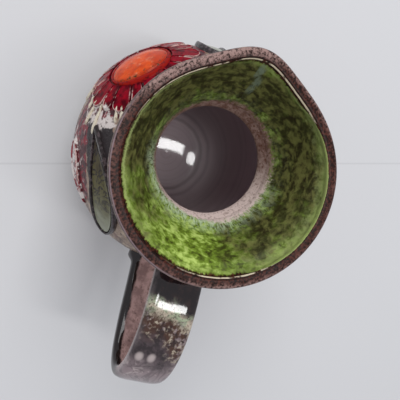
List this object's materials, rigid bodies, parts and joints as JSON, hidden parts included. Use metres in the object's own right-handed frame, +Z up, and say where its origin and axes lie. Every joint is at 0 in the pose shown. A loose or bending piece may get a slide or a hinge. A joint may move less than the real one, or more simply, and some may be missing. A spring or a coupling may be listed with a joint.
{
  "type": "pouring jug",
  "caption": "Ball-shaped glazed stoneware jug with a flared green-lined mouth, a pressed spout, a broad strap handle and a raised flower on each flank.",
  "frame": {"origin": "centre of the foot ring, on the table", "axes": "+Z up, +X toward the handle, -Y the flank with the first flower; the spout points near -X"},
  "size_m": [0.2044, 0.14, 0.1591],
  "materials": {
    "bare_clay": "unglazed, dry",
    "belly_glaze": "semi-gloss mottled mauve-grey and brown lava glaze",
    "lip_glaze": "glossy dark red-brown speckled glaze",
    "green_glaze": "glossy mottled green glaze",
    "handle_glaze": "high-gloss dark brown and cream speckled glaze",
    "orange_glaze": "glossy orange glaze",
    "cream_glaze": "cream glaze line",
    "red_glaze": "high-gloss deep red glaze",
    "leaf_rim_glaze": "glossy black-brown glaze line",
    "leaf_pool_glaze": "glassy grey-green glaze pool"
  },
  "bodies": {
    "root": {"foot_base": "bare_clay", "lower_bowl": "belly_glaze", "belly_lower_ring": "belly_glaze", "belly_upper_ring": "belly_glaze", "shoulder_dome": "belly_glaze", "throat_collar": "belly_glaze", "mouth_rim": "lip_glaze", "mouth_glaze": "green_glaze", "handle_strap": "handle_glaze", "handle_root_lute": "handle_glaze", "handle_foot_lute": "handle_glaze", "spout_leaf_rim": "leaf_rim_glaze", "spout_leaf_pool": "leaf_pool_glaze", "front_flower_centre": "orange_glaze", "front_flower_ring": "cream_glaze", "front_leaf_rim": "leaf_rim_glaze", "front_leaf_pool": "leaf_pool_glaze", "front_red_leaf": "red_glaze", "back_flower_centre": "orange_glaze", "back_flower_ring": "cream_glaze", "back_leaf_rim": "leaf_rim_glaze", "back_leaf_pool": "leaf_pool_glaze", "back_red_leaf": "red_glaze", "front_petal_01": "red_glaze", "front_petal_02": "red_glaze", "front_petal_03": "red_glaze", "front_petal_04": "red_glaze", "front_petal_05": "red_glaze", "front_petal_06": "red_glaze", "front_petal_07": "red_glaze", "front_petal_08": "red_glaze", "front_petal_09": "red_glaze", "front_petal_10": "red_glaze", "front_petal_11": "red_glaze", "front_petal_12": "red_glaze", "front_petal_13": "red_glaze", "front_petal_14": "red_glaze", "front_petal_15": "red_glaze", "front_petal_16": "red_glaze", "front_petal_17": "red_glaze", "front_petal_18": "red_glaze", "back_petal_01": "red_glaze", "back_petal_02": "red_glaze", "back_petal_03": "red_glaze", "back_petal_04": "red_glaze", "back_petal_05": "red_glaze", "back_petal_06": "red_glaze", "back_petal_07": "red_glaze", "back_petal_08": "red_glaze", "back_petal_09": "red_glaze", "back_petal_10": "red_glaze", "back_petal_11": "red_glaze", "back_petal_12": "red_glaze", "back_petal_13": "red_glaze", "back_petal_14": "red_glaze", "back_petal_15": "red_glaze", "back_petal_16": "red_glaze", "back_petal_17": "red_glaze", "back_petal_18": "red_glaze"}
  },
  "joints": []
}
